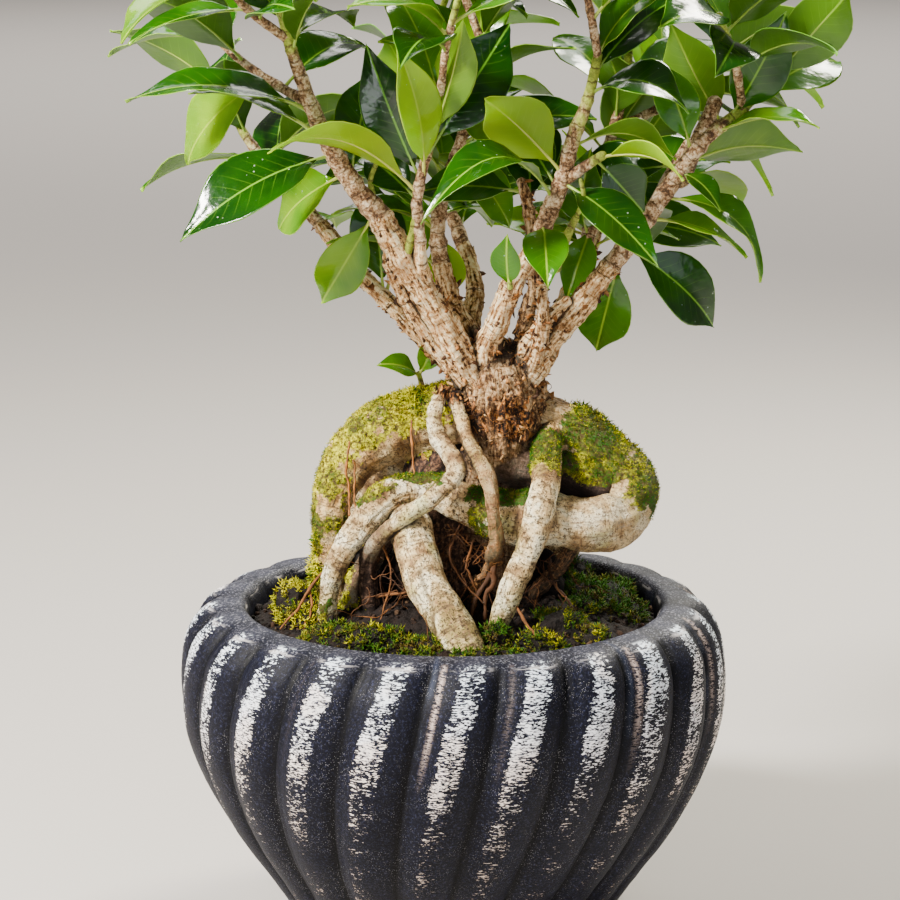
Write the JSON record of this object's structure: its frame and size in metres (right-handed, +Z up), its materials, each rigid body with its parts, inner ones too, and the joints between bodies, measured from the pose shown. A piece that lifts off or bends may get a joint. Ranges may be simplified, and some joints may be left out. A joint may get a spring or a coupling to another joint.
{
  "type": "ficus ginseng bonsai",
  "caption": "Small bonsai tree on thick exposed aerial roots, with glossy oval leaves, growing from soil in a round ribbed dark pot.",
  "frame": {"origin": "centre of the flat underside of the pot", "axes": "+Z up through the pot and trunk; -Y is the pictured front; +X is the picture's right"},
  "size_m": [0.2298, 0.1894, 0.3447],
  "materials": {
    "pot": "satin slate blue-black, worn silvery along the ribs",
    "soil": "dark crumbly potting soil",
    "bark": "pale cream-grey roots and tan flaky bark",
    "leaf": "glossy green leaf, yellow-green where young",
    "moss": "short soft bright green moss"
  },
  "bodies": {
    "root": {"pot": "pot", "soil": "soil", "tree_wood": "bark", "spray_left_tip": "leaf", "spray_left_shoot": "leaf", "spray_centre_left": "leaf", "spray_middle": "leaf", "spray_right": "leaf", "spray_back_middle": "leaf", "spray_back": "leaf", "spray_back_right": "leaf", "spray_back_left": "leaf", "spray_left_outer": "leaf", "spray_left_front": "leaf", "spray_top_left": "leaf", "spray_top_front": "leaf", "spray_top_centre": "leaf", "spray_top_middle": "leaf", "spray_top_right": "leaf", "spray_top_back_middle": "leaf", "spray_right_back_outer": "leaf", "spray_top_back": "leaf", "spray_low_leaf_middle": "leaf", "spray_shoulder_sprout": "leaf"}
  },
  "joints": []
}
